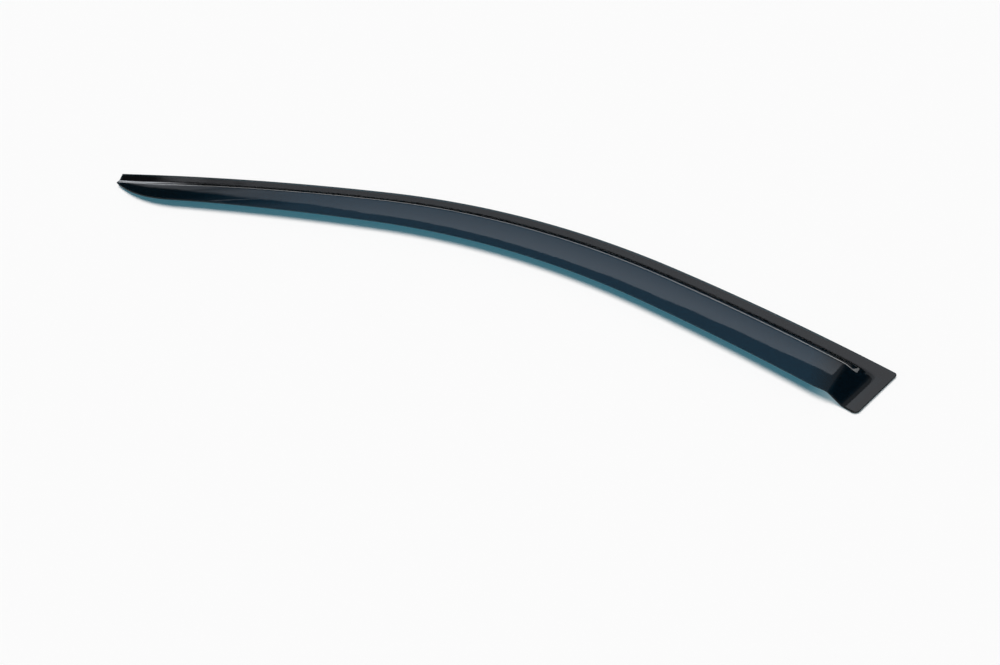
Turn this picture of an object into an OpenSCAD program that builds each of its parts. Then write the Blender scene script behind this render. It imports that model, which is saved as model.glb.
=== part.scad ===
// Window rain deflector for a car's front door, lying flange down.
// One sheet of smoked acrylic, moulded to an even thickness: a flat flange that is stuck to the
// window frame, a sloping riser, and a wing that stands off the glass. At the rear the wing closes
// with an end wall onto a flat tab. A strip of foam tape under the flange and tab holds it.
// X runs along the chord from the front tip to the rear tab, the wing is on the -Y side, and Z = 0
// is the tape's sticking face. The origin is on the middle of the tape's strip, halfway along.
// In the functions, s is the length along the outer edge from the tip, and v is the distance in
// from that edge towards the wing.

/* [Outer edge] */
// Length of the shallow arc at the front
front_len = 366; // [330:1:400]
// Radius of the shallow arc at the front
front_r = 3400; // [2600:50:5000]
// Length of the tighter arc at the door's shoulder
bend_len = 366; // [330:1:400]
// Radius of the tighter arc
bend_r = 1000; // [900:10:1300]
// Length of the arc at the rear
rear_len = 262; // [240:1:290]
// Radius of the arc at the rear
rear_r = 2670; // [2000:10:4000]

/* [Sheet] */
// Thickness of the acrylic
sheet_t = 2.5; // [2:0.1:3]
// Radius inside the bend at the foot of the riser
foot_r = 5; // [3.5:0.5:7]
// Radius inside the bend at the crest
crest_r = 3; // [1:0.5:5]

/* [Flange and riser] */
// Width of the flange at the tip
flange_tip_w = 11.8; // [10:0.1:12.5]
// Width of the flange at the tab
flange_tab_w = 15.2; // [14:0.1:17]
// How late the flange widens towards the tab, where 1 is a straight foot line
flange_ease = 1.8; // [1:0.1:2.4]
// Width in plan of the riser at the tip
riser_tip_w = 5.8; // [5.5:0.1:6.6]
// Width in plan of the full riser
riser_w = 14.4; // [13.5:0.1:16]
// Length from the tip over which the riser widens
riser_grow_len = 620; // [500:10:750]
// Height of the riser at the tip
riser_tip_h = 2.7; // [2:0.1:3]
// Height of the full riser
riser_h = 14; // [13:0.1:15]
// Length from the tip to where the riser starts to lift
riser_lift_s = 40; // [30:1:60]
// Length over which it lifts
riser_lift_len = 520; // [400:10:600]
// Half the length of the soft start of that lift
riser_lift_ease = 30; // [15:1:30]

/* [Wing] */
// Reach of the lower edge at the tip, before the nose cuts it back
wing_tip_reach = 47.2; // [44:0.1:50]
// Reach of the lower edge at the rear
wing_reach = 69.7; // [66:0.1:74]
// How the reach eases off towards the rear, where 1 is a straight lower edge
reach_ease = 1.6; // [1.2:0.1:2]
// Height of the lower edge above the flange
edge_h = 11.2; // [9:0.1:13]
// Height of the lower edge above the flange at the tip
edge_tip_h = 2.6; // [1.5:0.1:3]
// Length over which the lower edge lifts from the tip
edge_grow_len = 180; // [150:5:220]
// Radius of the wing's crown, across
crown_r = 160; // [120:5:220]
// Length of the rounded nose that ends the wing at the tip
nose_len = 100; // [85:1:120]
// Fullness of the nose's curve
nose_power = 2.7; // [2.3:0.1:3]
// Width of the wing that is left at the very tip
nose_land = 0.3; // [0.2:0.1:1]

/* [End wall and tab] */
// Length of the tab from the foot of the end wall to the end edge
tab_w = 16.2; // [15.5:0.1:18]
// Reach of the tab's bottom edge
tab_reach = 67.5; // [65:0.5:70]
// Length in plan of the end wall beside the riser
end_wall_crest_w = 26; // [23:0.5:28]
// Length in plan of the end wall at the lower edge
end_wall_edge_w = 20.5; // [19:0.5:24]
// Slant of the end edge: how far it leans back for each millimetre of reach
end_slant = 0.19; // [0.1:0.01:0.25]
// Radius of the tab's corner on the outer edge
tab_corner_r = 3.5; // [2:0.5:7]
// Radius of its corner on the bottom edge
tab_bottom_r = 5.5; // [3:0.5:7]

/* [Tape] */
// Thickness of the foam tape
tape_t = 0.8; // [0.6:0.1:1.1]
// Margin of bare acrylic round the tape
tape_margin = 0.4; // [0.3:0.1:0.8]
// Clearance from the tape to the bend at the foot of the riser
tape_gap = 0.3; // [0.2:0.1:0.6]
// Width of the tape on the tab
tape_tab_w = 6.5; // [6:0.1:8]

/* [Hidden] */
edge_len = front_len + bend_len + rear_len;
flange_z = tape_t + sheet_t;
outer_crest_r = sheet_t + crest_r;
wall_foot_s = edge_len - tab_w;
wall_top_s = wall_foot_s - end_wall_crest_w;
wall_edge_s = wall_foot_s - end_slant * tab_reach - end_wall_edge_w;
// The plan lines lean over to the end edge's slant ahead of the end wall
slant_len = 110;
slant_start_s = wall_top_s - slant_len;
// Stations along the edge: the nose, the long run and the end
nose_stations = 16;
nose_crowding = 1.4;
run_stations = 46;
end_stations = 34;
end_zone_s = wall_top_s - 2 * outer_crest_r;
// Rows across the sheet, as shares of the flange, the riser and the wing
flange_rows = [0, 0.08, 0.22, 0.45, 0.72];
riser_rows = [0.3, 0.7];
foot_rows = [-1, -0.6, -0.2, 0.2, 0.6, 1];
crest_rows = [-1, -0.4, 0.4, 1];
wing_rows = [0.12, 0.25, 0.4, 0.55, 0.7, 0.83, 0.92, 0.97, 1];
// Points down the tape's end on the tab, as shares of it, closer together at its round corners
tape_end_rows = [0, 0.015, 0.04, 0.08, 0.3, 0.6, 0.92, 0.96, 0.985, 1];
growth_power = 3;
// Step of the finite differences that give the sheet's normal
probe = 0.02;

function mix(a, b, share) = a + (b - a) * share;
function clamp01(x) = min(1, max(0, x));
function unit(p) = p / norm(p);

// The growth of a size from the tip: fast at first, level from the given length on
function growth(s, len) = s >= len ? 1 : 1 - pow(1 - s / len, growth_power);

// The place and heading [x, y, heading] after a length of arc that turns to the right
function along(start, r, len) =
    let (turn = len / r * 180 / PI, heading = start[2])
    [start[0] + r * (sin(heading) - sin(heading - turn)),
     start[1] - r * (cos(heading) - cos(heading - turn)),
     heading - turn];

// The outer edge as three arcs that run into each other
function edge_from(heading, s) =
    let (tip = [0, 0, heading],
         bend = along(tip, front_r, front_len),
         rear = along(bend, bend_r, bend_len))
    s < front_len ? along(tip, front_r, s)
    : s < front_len + bend_len ? along(bend, bend_r, s - front_len)
    : along(rear, rear_r, s - front_len - bend_len);

level_end = edge_from(0, edge_len);
tip_heading = -atan2(level_end[1], level_end[0]);

function plan_from_tip(s, v) =
    let (edge = edge_from(tip_heading, s))
    [edge[0] + v * sin(edge[2]), edge[1] - v * cos(edge[2])];

// Lines along the part, as distances in from the outer edge
function foot_v(s) = mix(flange_tip_w, flange_tab_w, pow(clamp01(s / edge_len), flange_ease));
function riser_run(s) = mix(riser_tip_w, riser_w, growth(s, riser_grow_len));
function crest_v(s) = foot_v(s) + riser_run(s);
function wing_v(s) = wing_reach - (wing_reach - wing_tip_reach) * pow(1 - s / edge_len, reach_ease);
function riser_rise(s) =
    mix(riser_tip_h, riser_h, growth(soft_corner(s - riser_lift_s, riser_lift_ease), riser_lift_len));
// Half the width in plan of a bend of radius r on the top face, between the level and the riser
function bend_half(s, r) = r * riser_rise(s) / riser_run(s) / 2;
function nose_v() = crest_v(0) + bend_half(0, outer_crest_r) + nose_land;
function lower_v(s) =
    let (nose = s >= nose_len ? 1 : 1 - pow(1 - s / nose_len, nose_power),
         wing = mix(nose_v(), wing_v(min(s, edge_len)), nose),
         tab = clamp01((s - wall_edge_s) / end_wall_edge_w))
    mix(wing, tab_reach, tab);

// Height of the wing's surface above the flange: a straight line across with a round crown on it
function wing_h(s, v) =
    let (width = lower_v(s) - crest_v(s),
         share = (v - crest_v(s)) / width,
         edge = mix(edge_tip_h, edge_h, growth(s, edge_grow_len)),
         crown = width * width / crown_r / 2)
    mix(riser_rise(s), edge, share) + crown * share * (1 - share);

// Zero below x = 0 and x above it, with a soft corner of the given half width
function soft_corner(x, half) = x <= -half ? 0 : x >= half ? x : (x + half) * (x + half) / (4 * half);

// Length in plan of the end wall at a distance in from the outer edge
function end_wall_w(v) =
    mix(end_wall_crest_w, end_wall_edge_w, clamp01((v - flange_tab_w) / (tab_reach - flange_tab_w)));

// A slope from 0 to 1 with a soft bend at its foot and at its crest
function climb(share, foot, crest) = soft_corner(share, foot) - soft_corner(share - 1, crest);

// How far up the riser and the end wall a place is: 0 on the flange and the tab, 1 on the wing
function step(s, v) =
    let (side = (v - foot_v(s)) / riser_run(s),
         end = (wall_foot_s - end_slant * v - s) / end_wall_w(v),
         foot = bend_half(s, foot_r) / riser_run(s),
         crest = bend_half(s, outer_crest_r) / riser_run(s))
    climb(side, foot, crest) * climb(end, foot, crest);

function skin_point(s, v) =
    let (xy = plan_from_tip(s, v) - origin_xy)
    [xy[0], xy[1], flange_z + wing_h(s, v) * step(s, v)];

function normal(s, v) =
    unit(cross(skin_point(s, v + probe) - skin_point(s, v - probe),
               skin_point(s + probe, v) - skin_point(s - probe, v)));

// How far a round corner of the tab cuts the end edge back, at a distance from the corner's side
function corner_cut(side, r) = side >= r ? 0 : r - sqrt(max(0, r * r - (r - side) * (r - side)));
function end_cut(v, margin) =
    margin + corner_cut(v - margin, tab_corner_r - margin)
    + corner_cut(tab_reach - margin - v, tab_bottom_r - margin);

// The length along the edge of a row's point on a station: the stations lean over to the end edge
function station_s(u, v) =
    let (lean = clamp01((u - slant_start_s) / slant_len),
         round = clamp01((u - wall_foot_s) / tab_w))
    u - end_slant * lean * v - round * round * end_cut(v, 0);

STATIONS = concat(
    [for (i = [0 : nose_stations]) nose_len * pow(i / nose_stations, nose_crowding)],
    [for (i = [1 : run_stations]) mix(nose_len, end_zone_s, i / run_stations)],
    [for (i = [1 : end_stations]) mix(end_zone_s, edge_len, i / end_stations)]);

function rows(s) =
    let (foot_half = bend_half(s, foot_r),
         crest_half = bend_half(s, outer_crest_r),
         flange = foot_v(s) - foot_half,
         wing = crest_v(s) + crest_half)
    concat([for (share = flange_rows) flange * share],
           [for (side = foot_rows) foot_v(s) + side * foot_half],
           [for (share = riser_rows) mix(foot_v(s) + foot_half, crest_v(s) - crest_half, share)],
           [for (side = crest_rows) crest_v(s) + side * crest_half],
           [for (share = wing_rows) mix(wing, lower_v(s), share)]);

// Middle of the tape's strip, halfway along the edge
mid_s = edge_len / 2;
mid_v = (tape_margin + tape_inner_v(mid_s)) / 2;
origin_xy = plan_from_tip(mid_s, mid_v);

function tape_inner_v(s) = foot_v(s) - bend_half(s, foot_r) - tape_gap;

// A closed sheet between two grids of points, each a list of lines
module closed_sheet(top, under) {
    lines = len(top);
    count = len(top[0]);
    half = lines * count;
    points = concat([for (line = top) each line], [for (line = under) each line]);
    skins = [for (i = [0 : lines - 2], j = [0 : count - 2])
        let (a = i * count + j, b = a + 1, c = a + count, d = c + 1)
        each [[a, c, b], [b, c, d], [half + a, half + b, half + c], [half + b, half + d, half + c]]];
    sides = [for (i = [0 : lines - 2], j = [0, count - 1])
        let (a = i * count + j, c = a + count)
        each j == 0 ? [[a, half + a, c], [c, half + a, half + c]]
                    : [[a, c, half + a], [c, half + c, half + a]]];
    ends = [for (i = [0, lines - 1], j = [0 : count - 2])
        let (a = i * count + j, b = a + 1)
        each i == 0 ? [[a, b, half + a], [b, half + b, half + a]]
                    : [[a, half + a, b], [b, half + a, half + b]]];
    polyhedron(points, concat(skins, sides, ends), convexity = 6);
}

module visor() {
    places = [for (u = STATIONS) [for (v = rows(u)) [station_s(u, v), v]]];
    top = [for (line = places) [for (p = line) skin_point(p[0], p[1])]];
    under = [for (line = places) [for (p = line) skin_point(p[0], p[1]) - sheet_t * normal(p[0], p[1])]];
    color([0.06, 0.13, 0.17, 0.85])
        closed_sheet(top, under);
}

module adhesive_tape() {
    run = [for (u = STATIONS) if (u > tape_margin && u < wall_foot_s) u];
    drop = tab_reach - 2 * tape_margin;
    down = [for (share = tape_end_rows) tape_margin + drop * share];
    inner_s = edge_len - tape_margin - tape_tab_w;
    tip = [tape_margin, for (u = run) u];
    outer = [for (s = tip) [s, tape_margin]];
    end = [for (v = down) [edge_len - end_slant * v - end_cut(v, tape_margin), v]];
    back = [[inner_s - end_slant * down[len(down) - 1], down[len(down) - 1]],
            [inner_s - end_slant * tape_inner_v(inner_s), tape_inner_v(inner_s)]];
    inner = [for (i = [len(tip) - 1 : -1 : 0]) [tip[i], tape_inner_v(tip[i])]];
    color([0.05, 0.05, 0.055])
        linear_extrude(tape_t)
            polygon([for (p = concat(outer, end, back, inner)) plan_from_tip(p[0], p[1]) - origin_xy]);
}

visor();
adhesive_tape();
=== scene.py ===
"""Window rain deflector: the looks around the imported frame. Metres, in the CAD frame."""
import math

import bpy
import numpy as np
from mathutils import Matrix, Vector


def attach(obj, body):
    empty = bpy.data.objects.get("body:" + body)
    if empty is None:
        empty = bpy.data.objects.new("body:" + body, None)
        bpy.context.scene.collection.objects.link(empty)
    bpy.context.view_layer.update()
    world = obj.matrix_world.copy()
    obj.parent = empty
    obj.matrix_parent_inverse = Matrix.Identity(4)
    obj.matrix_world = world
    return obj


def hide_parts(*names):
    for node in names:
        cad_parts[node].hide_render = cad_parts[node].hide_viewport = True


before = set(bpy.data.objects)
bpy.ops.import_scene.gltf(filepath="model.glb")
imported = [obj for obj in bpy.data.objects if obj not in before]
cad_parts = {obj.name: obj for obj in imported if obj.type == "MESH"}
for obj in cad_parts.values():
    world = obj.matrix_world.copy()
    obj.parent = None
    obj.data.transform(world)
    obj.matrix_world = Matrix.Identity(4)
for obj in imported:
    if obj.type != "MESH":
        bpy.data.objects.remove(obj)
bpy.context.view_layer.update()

MM = 0.001

# The deflector's sizes in millimetres, as in the part's source
FRONT_LEN, FRONT_R = 366, 3400
BEND_LEN, BEND_R = 366, 1000
REAR_LEN, REAR_R = 262, 2670
SHEET_T, FOOT_R, CREST_R = 2.5, 5, 3
FLANGE_TIP_W, FLANGE_TAB_W, FLANGE_EASE = 11.8, 15.2, 1.8
RISER_TIP_W, RISER_W, RISER_GROW_LEN = 5.8, 14.4, 620
RISER_TIP_H, RISER_H = 2.7, 14
RISER_LIFT_S, RISER_LIFT_LEN, RISER_LIFT_EASE = 40, 520, 30
WING_TIP_REACH, WING_REACH, REACH_EASE = 47.2, 69.7, 1.6
EDGE_TIP_H, EDGE_H, EDGE_GROW_LEN = 2.6, 11.2, 180
CROWN_R = 160
NOSE_LEN, NOSE_POWER, NOSE_LAND = 100, 2.7, 0.3
TAB_W, TAB_REACH = 16.2, 67.5
END_WALL_CREST_W, END_WALL_EDGE_W = 26, 20.5
END_SLANT, TAB_CORNER_R, TAB_BOTTOM_R = 0.19, 3.5, 5.5
TAPE_T, TAPE_MARGIN, TAPE_GAP = 0.8, 0.4, 0.3
SLANT_LEN = 110

EDGE_LEN = FRONT_LEN + BEND_LEN + REAR_LEN
FLANGE_Z = TAPE_T + SHEET_T
OUTER_CREST_R = SHEET_T + CREST_R
WALL_FOOT_S = EDGE_LEN - TAB_W
WALL_TOP_S = WALL_FOOT_S - END_WALL_CREST_W
WALL_EDGE_S = WALL_FOOT_S - END_SLANT * TAB_REACH - END_WALL_EDGE_W
SLANT_START_S = WALL_TOP_S - SLANT_LEN


# The form. s runs along the outer edge from the tip, and v from that edge towards the lower one.

def mix(a, b, share):
    return a + (b - a) * share


def growth(s, length):
    """From 0 at the tip to 1 at this length, ever more slowly."""
    return 1 - (1 - np.minimum(s, length) / length) ** 3


def soft_corner(x, half):
    """0 below zero and x above it, with a parabola for the corner between -half and half."""
    return np.where(x <= -half, 0, np.where(x >= half, x, (x + half) ** 2 / (4 * half)))


def edge_from(heading, s):
    """The outer edge as three arcs: x, y and heading at each length s."""
    s = np.asarray(s, float)
    x, y, h = np.zeros_like(s), np.zeros_like(s), np.full_like(s, heading)
    x0, y0, h0, start = 0.0, 0.0, heading, 0.0
    for length, r in ((FRONT_LEN, FRONT_R), (BEND_LEN, BEND_R), (REAR_LEN, REAR_R)):
        here = (s >= start) | (start == 0)
        turned = h0 - (s - start) / r
        x = np.where(here, x0 + r * (math.sin(h0) - np.sin(turned)), x)
        y = np.where(here, y0 - r * (math.cos(h0) - np.cos(turned)), y)
        h = np.where(here, turned, h)
        h1 = h0 - length / r
        x0 += r * (math.sin(h0) - math.sin(h1))
        y0 -= r * (math.cos(h0) - math.cos(h1))
        h0, start = h1, start + length
    return x, y, h


def tip_heading():
    """The heading at the tip that puts the edge's two ends on one line along X."""
    x, y, _ = edge_from(0.0, float(EDGE_LEN))
    return -math.atan2(float(y), float(x))


TIP_HEADING = tip_heading()


def plan_from_tip(s, v):
    x, y, h = edge_from(TIP_HEADING, s)
    return x + v * np.sin(h), y - v * np.cos(h)


def foot_v(s):
    return mix(FLANGE_TIP_W, FLANGE_TAB_W, np.clip(s / EDGE_LEN, 0, 1) ** FLANGE_EASE)


def riser_run(s):
    return mix(RISER_TIP_W, RISER_W, growth(s, RISER_GROW_LEN))


def riser_rise(s):
    lifted = soft_corner(s - RISER_LIFT_S, RISER_LIFT_EASE)
    return mix(RISER_TIP_H, RISER_H, growth(lifted, RISER_LIFT_LEN))


def crest_v(s):
    return foot_v(s) + riser_run(s)


def wing_v(s):
    left = 1 - np.minimum(s, EDGE_LEN) / EDGE_LEN
    return WING_REACH - (WING_REACH - WING_TIP_REACH) * left ** REACH_EASE


def bend_half(s, r):
    """Half of a bend's width in plan, for a riser of this slope."""
    return r * riser_rise(s) / riser_run(s) / 2


def lower_v(s):
    """Where the lower edge is: the nose at the tip, the wing, and the tab's end."""
    nose_v = float(crest_v(0.0) + bend_half(0.0, OUTER_CREST_R) + NOSE_LAND)
    nose = 1 - (1 - np.clip(s, 0, NOSE_LEN) / NOSE_LEN) ** NOSE_POWER
    tab = np.clip((s - WALL_EDGE_S) / END_WALL_EDGE_W, 0, 1)
    return mix(mix(nose_v, wing_v(s), nose), TAB_REACH, tab)


def wing_h(s, v):
    """The crowned wing's height over the flange."""
    width = lower_v(s) - crest_v(s)
    share = (v - crest_v(s)) / width
    edge = mix(EDGE_TIP_H, EDGE_H, growth(s, EDGE_GROW_LEN))
    crown = width * width / CROWN_R / 2 * share * (1 - share)
    return mix(riser_rise(s), edge, share) + crown


def end_wall_w(v):
    share = np.clip((v - FLANGE_TAB_W) / (TAB_REACH - FLANGE_TAB_W), 0, 1)
    return mix(END_WALL_CREST_W, END_WALL_EDGE_W, share)


def climb(share, foot, crest):
    return soft_corner(share, foot) - soft_corner(share - 1, crest)


def step(s, v):
    """How far up the riser or the end wall: 0 on the flange and the tab, 1 on the wing."""
    foot = bend_half(s, FOOT_R) / riser_run(s)
    crest = bend_half(s, OUTER_CREST_R) / riser_run(s)
    side = (v - foot_v(s)) / riser_run(s)
    end = (WALL_FOOT_S - END_SLANT * v - s) / end_wall_w(v)
    return climb(side, foot, crest) * climb(end, foot, crest)


MID_S = EDGE_LEN / 2
TAPE_INNER_V = float(foot_v(MID_S) - bend_half(MID_S, FOOT_R)) - TAPE_GAP
ORIGIN = [float(c) for c in plan_from_tip(float(MID_S), (TAPE_MARGIN + TAPE_INNER_V) / 2)]


def skin_point(s, v):
    """A point of the sheet's upper face."""
    x, y = plan_from_tip(s, v)
    return np.stack([x - ORIGIN[0], y - ORIGIN[1], FLANGE_Z + wing_h(s, v) * step(s, v)], -1)


PROBE = 0.02  # how far to each side the upper face is measured for its normal


def normal(s, v):
    n = np.cross(skin_point(s, v + PROBE) - skin_point(s, v - PROBE),
                 skin_point(s + PROBE, v) - skin_point(s - PROBE, v))
    return n / np.linalg.norm(n, axis=-1, keepdims=True)


def corner_cut(side, r):
    """How much a round corner takes off, at this distance from the side."""
    reach = r - np.minimum(side, r)
    return np.where(side >= r, 0, r - np.sqrt(np.maximum(0, r * r - reach ** 2)))


def station_s(u, v):
    """Where station u crosses v: the stations turn into the end wall's slant, and round the tab."""
    lean = np.clip((u - SLANT_START_S) / SLANT_LEN, 0, 1)
    late = np.clip((u - WALL_FOOT_S) / TAB_W, 0, 1)
    cut = corner_cut(v, TAB_CORNER_R) + corner_cut(TAB_REACH - v, TAB_BOTTOM_R)
    return u - END_SLANT * lean * v - late * late * cut


# The visor's mesh

RIM_R = 0.35  # the cut edges are broken by this radius
RIM = np.array([0, 0.04, 0.13, 0.3, 0.55, 1.0])  # shares of the rim's width, close at the very edge
RIM_SHARE = 0.4  # the rim takes no more than this of the wing, which is very narrow at the tip
NOSE_STATIONS, NOSE_CROWDING = 80, 1.5  # they crowd towards the tip
SIDE_STATIONS, TURN_STATIONS, WALL_STATIONS, TAB_STATIONS = 190, 20, 100, 20
TURN_START, WALL_START = 30, 8  # the second and third run start this far before the wall's top
TAB_START = 6  # and the last one this far beyond its foot
FLANGE_ROWS, FOOT_ROWS, RISER_ROWS, CREST_ROWS, WING_ROWS = 9, 12, 8, 10, 40


def spread(*runs):
    """Rising values: each run is (start, end, count), ends shared."""
    values = [np.linspace(a, b, n, endpoint=False) for a, b, n in runs]
    return np.concatenate(values + [[runs[-1][1]]])


def stations():
    """Lengths along the outer edge at which the mesh has a line of points."""
    tip = RIM[:-1] * RIM_R
    first = (RIM_R / NOSE_LEN) ** (1 / NOSE_CROWDING)
    nose = NOSE_LEN * np.linspace(first, 1, NOSE_STATIONS) ** NOSE_CROWDING
    turn_s, wall_s = WALL_TOP_S - TURN_START, WALL_TOP_S - WALL_START
    tab_s = WALL_FOOT_S + TAB_START
    run = spread((NOSE_LEN, turn_s, SIDE_STATIONS), (turn_s, wall_s, TURN_STATIONS),
                 (wall_s, tab_s, WALL_STATIONS), (tab_s, EDGE_LEN - RIM_R, TAB_STATIONS))
    end = EDGE_LEN - RIM[::-1][1:] * RIM_R
    return np.concatenate([tip, nose, run[1:], end])


def rows(u):
    """Distances in from the outer edge of every row, on the stations u."""
    foot_half, crest_half = bend_half(u, FOOT_R), bend_half(u, OUTER_CREST_R)
    flange, riser = foot_v(u) - foot_half, foot_v(u) + foot_half
    crest, wing = crest_v(u) - crest_half, crest_v(u) + crest_half
    lower = lower_v(u)
    rim = np.minimum(RIM_R, (lower - wing) * RIM_SHARE)
    parts = [np.outer(RIM[:-1], np.full_like(u, RIM_R))]
    for start, end, count in ((RIM_R, flange, FLANGE_ROWS), (flange, riser, FOOT_ROWS),
                              (riser, crest, RISER_ROWS), (crest, wing, CREST_ROWS),
                              (wing, lower - rim, WING_ROWS)):
        parts.append(start + np.outer(np.arange(count) / count, end - start))
    parts.append(lower - np.outer(RIM[::-1], rim))
    return np.concatenate(parts).T


def edge_faces(start, stride, under, flipped):
    """Quads down one cut edge, from the upper face's points to the under face's."""
    quad = [start, start + stride, start + stride + under, start + under]
    return np.stack(quad[:1] + quad[:0:-1] if flipped else quad, 1)


def visor_mesh():
    u = stations()
    v = rows(u)
    s = station_s(u[:, None], v)
    top = skin_point(s, v)
    n = normal(s, v)
    # The cut edges: both faces draw in along a quarter round near the sheet's outline
    sides = np.minimum(v, lower_v(u)[:, None] - v)
    ends = np.minimum(u, EDGE_LEN - u)[:, None]
    drawn = corner_cut(np.maximum(np.minimum(sides, ends), 0), RIM_R)[..., None]
    upper, under = top - n * drawn, top - n * (SHEET_T - drawn)
    points = np.concatenate([upper.reshape(-1, 3), under.reshape(-1, 3)]) * MM
    lines, count = v.shape
    half = lines * count
    i, j = np.meshgrid(np.arange(lines - 1), np.arange(count - 1), indexing="ij")
    a = (i * count + j).ravel()
    outer, tip = np.arange(lines - 1) * count, np.arange(count - 1)
    faces = [np.stack([a, a + 1, a + count + 1, a + count], 1),
             np.stack([a, a + count, a + count + 1, a + 1], 1) + half,
             edge_faces(outer, count, half, False),
             edge_faces(outer + count - 1, count, half, True),
             edge_faces(tip, 1, half, True),
             edge_faces(tip + (lines - 1) * count, 1, half, False)]
    mesh = bpy.data.meshes.new("visor_sheet")
    mesh.from_pydata(points.tolist(), [], np.concatenate(faces).tolist())
    mesh.polygons.foreach_set("use_smooth", np.ones(len(mesh.polygons), bool))
    mesh.update()
    return mesh


def new_object(name, data):
    made = bpy.data.objects.new(name, data)
    bpy.context.scene.collection.objects.link(made)
    return made


# Materials

class Nodes:
    """Short names for building a node tree."""

    def __init__(self, tree):
        self.tree = tree
        tree.nodes.clear()

    def add(self, kind, settings=None, **inputs):
        """A node with its settings, and values or links for its inputs, named with _ for a space."""
        node = self.tree.nodes.new(kind)
        for name, value in (settings or {}).items():
            setattr(node, name, value)
        for name, value in inputs.items():
            self.put(node, name.replace("_", " "), value)
        return node

    def put(self, node, place, value):
        """Sets the input of this name or number, or links a socket to it."""
        socket = node.inputs[place]
        if isinstance(value, bpy.types.NodeSocket):
            self.tree.links.new(value, socket)
        else:
            socket.default_value = value

    def math(self, operation, first, *others):
        """The operation on the values from left to right, or on the first alone."""
        for other in others or (0.0,):
            node = self.add("ShaderNodeMath", {"operation": operation})
            self.put(node, 0, first)
            self.put(node, 1, other)
            first = node.outputs[0]
        return first

    def ramp(self, value, low, high, to_low=0.0, to_high=1.0):
        """From one value to another, as the input goes from low to high."""
        return self.add("ShaderNodeMapRange", {"clamp": True}, Value=value, From_Min=low,
                        From_Max=high, To_Min=to_low, To_Max=to_high).outputs[0]

    def noise(self, vector, scale, detail, rough=0.5):
        return self.add("ShaderNodeTexNoise", Vector=vector, Scale=scale, Detail=detail,
                        Roughness=rough).outputs["Fac"]

    def mix_colors(self, share, first, second):
        """The first colour at share 0 and the second at 1, each an (r, g, b) or a socket."""
        node = self.add("ShaderNodeMix", {"data_type": "RGBA"})
        self.put(node, 0, share)
        for place, color in ((6, first), (7, second)):
            self.put(node, place, (*color, 1) if isinstance(color, tuple) else color)
        return node.outputs[2]

    def mix_shaders(self, share, first, second):
        node = self.add("ShaderNodeMixShader")
        for place, given in enumerate((share, first.outputs[0], second.outputs[0])):
            self.put(node, place, given)
        return node

    def output(self, kind, shader):
        self.put(self.add(kind), "Surface", shader.outputs[0])


def new_material(name):
    material = bpy.data.materials.new(name)
    material.use_nodes = True
    return material, Nodes(material.node_tree)


ACRYLIC_IOR = 1.49
# What one face of the sheet lets through: the whole sheet passes this squared
SEEN_TINT = (0.14, 0.352, 0.43)
# Painted shade: the see-through tint is made darker near the tip and at the end wall and the tab,
# for the shade on the table under the sheet there.
TIP_SHADE_TINT = (0.12, 0.165, 0.19)  # at the tip, where little light comes in under the sheet
WALL_SHADE_TINT = (0.04, 0.1, 0.13)  # and at the end wall and the tab
TIP_X, TIP_FADE_X = -0.4, -0.22
WALL_X, WALL_FADE_X = 0.43, 0.4
# The same for lamps. The photograph's table is overexposed, so that the light on it below the
# sheet shows brighter than the sheet looks.
LIT_TINT = (0.155, 0.357, 0.416)
LIT_END_TINT = (0.48, 0.57, 0.6)  # the shadow's edge is pale below the end wall
# The cut edges are looked into along the sheet, so they show dark, and they are saw-cut and broken,
# so they gloss less than the faces. They are where the surface faces this little up or down.
CUT_TINT = (0.03, 0.07, 0.08)
CUT_START, CUT_FULL = 0.5, 0.2
CUT_NEAR = 0.35  # how much of the tint shows where the view enters through a cut edge
CUT_SHINE = 0.35
UNDER_FADE_Z, UNDER_Z = 0.0017, 0.0012  # below this the flange's underside lies on the dark tape
# Painted highlight along the crest: there the gloss is made stronger than on the smooth section, by
# up to the gain below. Its place is told by how steep the sheet is there, which way it leans and how
# high it is, each from where there is none of it to where it is full, and the gain grows towards the
# tab.
CREST_HIGHLIGHT_GAIN, CREST_HIGHLIGHT_START_X, CREST_HIGHLIGHT_END_X = 1.6, 0.0, 0.44
CREST_HIGHLIGHT_LEVEL, CREST_HIGHLIGHT_STEEP = (0.98, 0.955), (0.8, 0.87)
CREST_HIGHLIGHT_OUTWARD = (0.1, 0.18)
CREST_HIGHLIGHT_LOW_Z, CREST_HIGHLIGHT_HIGH_Z = 0.009, 0.012
# The moulded sheet is not quite flat: slow waves a few centimetres long, and a finer orange peel
WAVE_SCALE, WAVE_DETAIL = 26.0, 1.0
PEEL_SCALE, PEEL_DETAIL, PEEL_SHARE = 180.0, 2.0, 0.05
SHEET_BUMP, SHEET_BUMP_DEPTH = 0.16, 0.0012
# A faint film from handling: it makes the gloss rougher in blotches
FILM_SCALE, FILM_DETAIL, FILM_ROUGH = 60.0, 4.0, 0.65
FILM_LOW, FILM_HIGH = 0.35, 0.75
CLEAN_ROUGHNESS, FILM_ROUGHNESS = 0.02, 0.06


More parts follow.
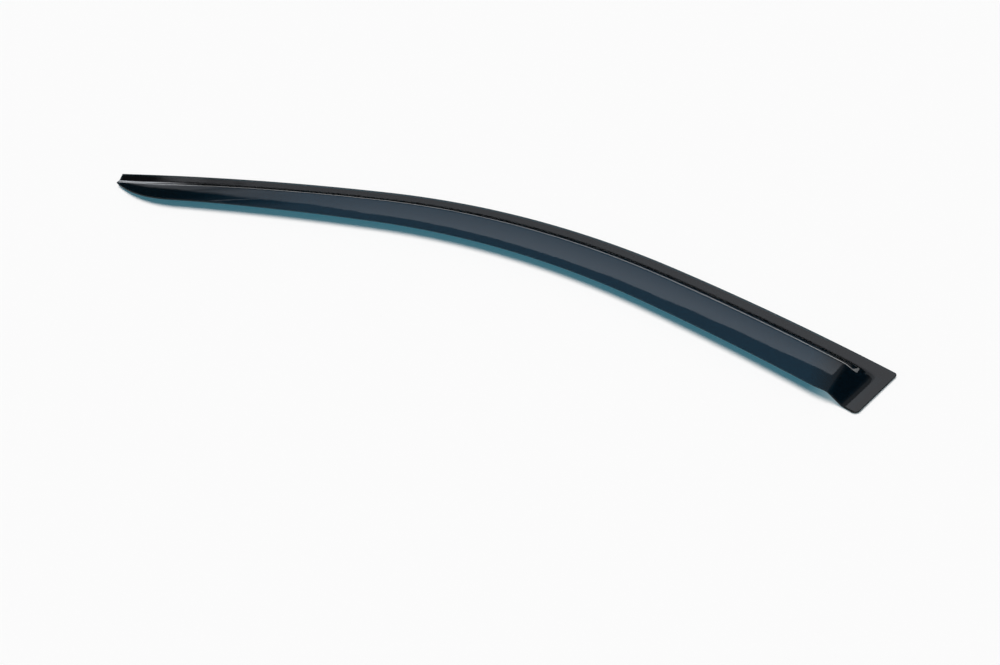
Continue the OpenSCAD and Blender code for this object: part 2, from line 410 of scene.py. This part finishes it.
def acrylic():
    material, n = new_material("smoked_acrylic")
    place = n.add("ShaderNodeTexCoord").outputs["Object"]
    waves = n.noise(place, WAVE_SCALE, WAVE_DETAIL)
    peel = n.noise(place, PEEL_SCALE, PEEL_DETAIL)
    height = n.math("ADD", waves, n.math("MULTIPLY", peel, PEEL_SHARE))
    bump = n.add("ShaderNodeBump", Strength=SHEET_BUMP, Distance=SHEET_BUMP_DEPTH,
                 Height=height).outputs[0]
    film = n.noise(place, FILM_SCALE, FILM_DETAIL, FILM_ROUGH)
    roughness = n.ramp(film, FILM_LOW, FILM_HIGH, CLEAN_ROUGHNESS, FILM_ROUGHNESS)

    where = n.add("ShaderNodeSeparateXYZ", Vector=place).outputs
    surface = n.add("ShaderNodeNewGeometry").outputs
    facing = n.add("ShaderNodeSeparateXYZ", Vector=surface["Normal"]).outputs
    level = n.math("ABSOLUTE", facing["Z"])
    cut = n.ramp(level, CUT_START, CUT_FULL)
    wall_side = n.ramp(where["X"], WALL_FADE_X, WALL_X)

    # What the camera sees: the tint, darkened as painted shade near the tip and at the end wall, and
    # the gloss, with a painted highlight along the crest
    near_tip = n.ramp(where["X"], TIP_FADE_X, TIP_X)
    seen_tint_and_shade = n.mix_colors(wall_side, n.mix_colors(near_tip, SEEN_TINT, TIP_SHADE_TINT), WALL_SHADE_TINT)
    cut_seen = n.math("MULTIPLY", cut, n.ramp(surface["Backfacing"], 0.0, 1.0, CUT_NEAR, 1.0))
    dark = n.math("MAXIMUM", cut_seen, n.ramp(where["Z"], UNDER_FADE_Z, UNDER_Z))
    clear = n.add("ShaderNodeBsdfTransparent", Color=n.mix_colors(dark, seen_tint_and_shade, CUT_TINT))
    gloss = n.add("ShaderNodeBsdfGlossy", Color=(1, 1, 1, 1), Roughness=roughness, Normal=bump)
    # Painted highlight: where the gloss along the crest is raised, and by how much
    crest = n.math("MULTIPLY", n.ramp(level, *CREST_HIGHLIGHT_LEVEL), n.ramp(level, *CREST_HIGHLIGHT_STEEP),
                   n.ramp(facing["Y"], *CREST_HIGHLIGHT_OUTWARD),
                   n.ramp(where["Z"], CREST_HIGHLIGHT_LOW_Z, CREST_HIGHLIGHT_HIGH_Z),
                   n.ramp(where["X"], CREST_HIGHLIGHT_START_X, CREST_HIGHLIGHT_END_X, 0.0, CREST_HIGHLIGHT_GAIN))
    shine = n.math("MULTIPLY", n.add("ShaderNodeFresnel", IOR=ACRYLIC_IOR, Normal=bump).outputs[0],
                   n.math("SUBTRACT", 1.0, surface["Backfacing"]),
                   n.ramp(level, CUT_START, CUT_FULL, 1.0, CUT_SHINE),
                   n.math("ADD", crest, 1.0))
    seen = n.mix_shaders(shine, clear, gloss)

    # What lamps send through
    pale = n.mix_colors(wall_side, LIT_TINT, LIT_END_TINT)
    lit = n.add("ShaderNodeBsdfTransparent", Color=n.mix_colors(cut, pale, CUT_TINT))
    for_lamps = n.add("ShaderNodeLightPath").outputs["Is Shadow Ray"]
    n.output("ShaderNodeOutputMaterial", n.mix_shaders(for_lamps, seen, lit))
    return material


FOAM_DARK, FOAM_PALE, FOAM_SHARE = (0.012, 0.012, 0.013), (0.05, 0.05, 0.053), 0.6
FOAM_CELL_SCALE, FOAM_BLOTCH_SCALE, FOAM_BLOTCH_DETAIL = 2600.0, 90.0, 3.0
FOAM_BUMP, FOAM_BUMP_DEPTH, FOAM_ROUGHNESS = 0.5, 0.0002, 0.85


def foam():
    material, n = new_material("foam_tape")
    place = n.add("ShaderNodeTexCoord").outputs["Object"]
    cells = n.add("ShaderNodeTexVoronoi", Vector=place, Scale=FOAM_CELL_SCALE).outputs["Distance"]
    blotch = n.noise(place, FOAM_BLOTCH_SCALE, FOAM_BLOTCH_DETAIL)
    share = n.math("MULTIPLY", n.math("ADD", blotch, cells), FOAM_SHARE)
    bump = n.add("ShaderNodeBump", Strength=FOAM_BUMP, Distance=FOAM_BUMP_DEPTH, Height=cells)
    body = n.add("ShaderNodeBsdfPrincipled", Base_Color=n.mix_colors(share, FOAM_DARK, FOAM_PALE),
                 Roughness=FOAM_ROUGHNESS, Normal=bump.outputs[0])
    n.output("ShaderNodeOutputMaterial", body)
    return material


visor = new_object("visor_sheet", visor_mesh())
visor.data.materials.append(acrylic())
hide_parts("visor")
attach(visor, "root")

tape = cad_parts["adhesive_tape"]
tape.data.materials.clear()
tape.data.materials.append(foam())

# Camera

# Where the photograph was taken from, in millimetres from the tip and over the table
CAMERA_FROM_TIP = (814.04, -575.47, 772.08)
CAMERA_AT = Vector(CAMERA_FROM_TIP) * MM - Vector((*ORIGIN, 0)) * MM
CAMERA_DOWN = math.radians(54.3)  # how far below level it looks
CAMERA_ROLL = math.radians(-6.515)
PART_TURN = math.radians(26.526)  # from the camera's heading to the part's +Y
LENS, SENSOR = 31.0, 36.0
CLIP_START, CLIP_END = 0.01, 100

camera_data = bpy.data.cameras.new("camera")
camera_data.lens, camera_data.sensor_width = LENS, SENSOR
camera_data.clip_start, camera_data.clip_end = CLIP_START, CLIP_END
camera = new_object("camera", camera_data)
right = Vector((1, 0, 0))
up = Vector((0, math.sin(CAMERA_DOWN), math.cos(CAMERA_DOWN)))
turned = Matrix.Rotation(PART_TURN, 3, "Z")
x_axis = turned @ (math.cos(CAMERA_ROLL) * right + math.sin(CAMERA_ROLL) * up)
y_axis = turned @ (-math.sin(CAMERA_ROLL) * right + math.cos(CAMERA_ROLL) * up)
camera_turn = Matrix((x_axis, y_axis, x_axis.cross(y_axis))).transposed()
camera.matrix_world = Matrix.Translation(CAMERA_AT) @ camera_turn.to_4x4()
bpy.context.scene.camera = camera

# Floor

FLOOR_HALF = 12.0
TABLE_WHITE = 0.93

floor_mesh = bpy.data.meshes.new("floor")
corners = [(x * FLOOR_HALF, y * FLOOR_HALF, 0) for x, y in ((-1, -1), (1, -1), (1, 1), (-1, 1))]
floor_mesh.from_pydata(corners, [], [(0, 1, 2, 3)])
floor = new_object("floor", floor_mesh)
material, n = new_material("white_table")
table = n.add("ShaderNodeBsdfDiffuse", Color=(TABLE_WHITE, TABLE_WHITE, TABLE_WHITE, 1))
n.output("ShaderNodeOutputMaterial", table)
floor_mesh.materials.append(material)

# Overhead light

SUN_STRENGTH = 3.1
SUN_ANGLE = math.radians(33)
SUN_FROM = Vector((-0.2, 0.13, 1))

sun_data = bpy.data.lights.new("overhead", "SUN")
sun_data.energy, sun_data.angle = SUN_STRENGTH, SUN_ANGLE
sun = new_object("overhead", sun_data)
sun.rotation_euler = SUN_FROM.to_track_quat("Z", "Y").to_euler()
sun.visible_glossy = False  # the photograph's overhead light leaves no glint on the wing

# World. Most of it is what the gloss shows. Directions are angles in degrees, the azimuth clockwise
# from the camera's heading. An upright wall one unit away faces the object, and x and z on it place
# what hangs there. A set of four is a ramp between two places or elevations: these, then the values
# at them.

AMBIENT = 0.08
BACKDROP = 0.957  # as bright as the lit table
GLOSS_COOL = (0.97, 1, 1.07)
WALL_AZIMUTH = 10.5
LEAST_AHEAD = 0.02  # keeps the wall's x and z in bounds to its sides

# A tall softbox with round corners stands behind the object. It is brighter towards its top and
# dimmer at its right.
BOX_X, BOX_HALF_W, BOX_Z, BOX_HALF_H, BOX_POWER = 0.135, 0.875, 0.5, 1.57, 3.0
BOX_INSIDE = (0.95, 1.05, 1.0, 0.0)
GLOW_LOW_Z, GLOW_HIGH_Z, GLOW_POWER = 0.55, 0.87, 2.0
GLOW_GAIN, GLOW_BASE = 0.87, 0.68
DIM_RIGHT = (0.62, 0.68, 1.0, 0.7)
BOX_FOOT = (20, 30, 0.0, 1.0)
# A bright place low on the left
LOW_LEFT_SIDE = (-0.53, -0.48, 1.0, 0.0)
LOW_LEFT_LIGHT = (5, 16, 3.3, 0.5)
LOW_LEFT_TOP = (22, 27, 1.0, 0.0)
# A dim ceiling, and a weak softbox behind the camera: azimuth, elevation, inner and outer angle
CEILING_ZONE, BEHIND_ZONE, ZONE_LIGHT = (20, 75, 27, 40), (195, 40, 24, 27), 0.3
# What is left shines the more the higher it is
FAINT_LIGHT, HIGH_LIGHT = (33, 38, 0.02, 0.07), (42, 50, 0.0, 0.3)
# A screen hides the lights' left part, but for a slit that the flat flange mirrors near the tip
SCREEN_X, SCREEN_TOP_X = (17, 29, -0.62, -0.577), (29, 43, 0.0, -0.021)
SCREEN_SOFT = (-0.012, 0.012)
SLIT_LEAN, SLIT_Z = 0.191, 0.7665
SLIT_SOFT = (0.0095, 0.0055)
SLIT_LIGHT = (-0.67, -0.65, 1.15, 0.85)

world = bpy.data.worlds.new("studio")
bpy.context.scene.world = world
world.use_nodes = True
n = Nodes(world.node_tree)
direction = n.add("ShaderNodeTexCoord").outputs["Generated"]
height = n.add("ShaderNodeSeparateXYZ", Vector=direction).outputs["Z"]


def towards(azimuth, elevation):
    turn, rise = math.radians(azimuth) - PART_TURN, math.radians(elevation)
    return math.cos(rise) * math.sin(turn), math.cos(rise) * math.cos(turn), math.sin(rise)


def dot(vector):
    node = n.add("ShaderNodeVectorMath", {"operation": "DOT_PRODUCT"})
    n.put(node, 0, direction)
    n.put(node, 1, vector)
    return node.outputs["Value"]


def round_zone(azimuth, elevation, inner, outer):
    """1 within the inner angle of a direction and 0 beyond the outer one."""
    low, high = math.cos(math.radians(outer)), math.cos(math.radians(inner))
    return n.ramp(dot(towards(azimuth, elevation)), low, high)


def by_height(low, high, to_low, to_high):
    """A value that changes between two elevations."""
    low, high = math.sin(math.radians(low)), math.sin(math.radians(high))
    return n.ramp(height, low, high, to_low, to_high)


ahead = n.math("MAXIMUM", dot(towards(WALL_AZIMUTH, 0)), LEAST_AHEAD)
wall_x = n.math("DIVIDE", dot(towards(WALL_AZIMUTH + 90, 0)), ahead)
wall_z = n.math("DIVIDE", height, ahead)


def box_share(place, middle, half):
    """How far a place is from the box's middle, as a share of its half size, to its power."""
    off = n.math("ABSOLUTE", n.math("DIVIDE", n.math("SUBTRACT", place, middle), half))
    return n.math("POWER", off, BOX_POWER)


outside = n.math("ADD", box_share(wall_x, BOX_X, BOX_HALF_W), box_share(wall_z, BOX_Z, BOX_HALF_H))
glow = n.math("POWER", n.ramp(height, GLOW_LOW_Z, GLOW_HIGH_Z), GLOW_POWER)
glow = n.math("ADD", n.math("MULTIPLY", glow, GLOW_GAIN), GLOW_BASE)
softbox = n.math("MULTIPLY", n.ramp(outside, *BOX_INSIDE), glow, n.ramp(wall_x, *DIM_RIGHT),
                 by_height(*BOX_FOOT))
low_left = n.math("MULTIPLY", n.ramp(wall_x, *LOW_LEFT_SIDE), by_height(*LOW_LEFT_LIGHT),
                  by_height(*LOW_LEFT_TOP))
screen_x = n.math("ADD", by_height(*SCREEN_X), by_height(*SCREEN_TOP_X))
kept = n.ramp(n.math("SUBTRACT", wall_x, screen_x), *SCREEN_SOFT)
slit_z = n.math("ADD", n.math("MULTIPLY", wall_x, SLIT_LEAN), SLIT_Z)
slit = n.ramp(n.math("ABSOLUTE", n.math("SUBTRACT", height, slit_z)), *SLIT_SOFT)
slit = n.math("MULTIPLY", slit, n.ramp(wall_x, *SLIT_LIGHT))
lights = n.math("MULTIPLY", n.math("MAXIMUM", softbox, low_left), n.math("MAXIMUM", kept, slit))
ceiling = n.math("MULTIPLY", round_zone(*CEILING_ZONE), ZONE_LIGHT)
behind = n.math("MULTIPLY", round_zone(*BEHIND_ZONE), ZONE_LIGHT)
mirrored = n.math("MAXIMUM", lights, behind, by_height(*FAINT_LIGHT), ceiling,
                  by_height(*HIGH_LIGHT))

path = n.add("ShaderNodeLightPath").outputs
by_gloss = path["Is Glossy Ray"]
strength = n.math("MAXIMUM", n.math("MULTIPLY", mirrored, by_gloss),
                  n.math("MULTIPLY", path["Is Camera Ray"], BACKDROP),
                  n.math("MULTIPLY", n.math("SUBTRACT", 1.0, by_gloss), AMBIENT))
color = n.mix_colors(by_gloss, (1, 1, 1), GLOSS_COOL)
n.output("ShaderNodeOutputWorld", n.add("ShaderNodeBackground", Color=color, Strength=strength))

bpy.context.scene.view_settings.view_transform = "Standard"
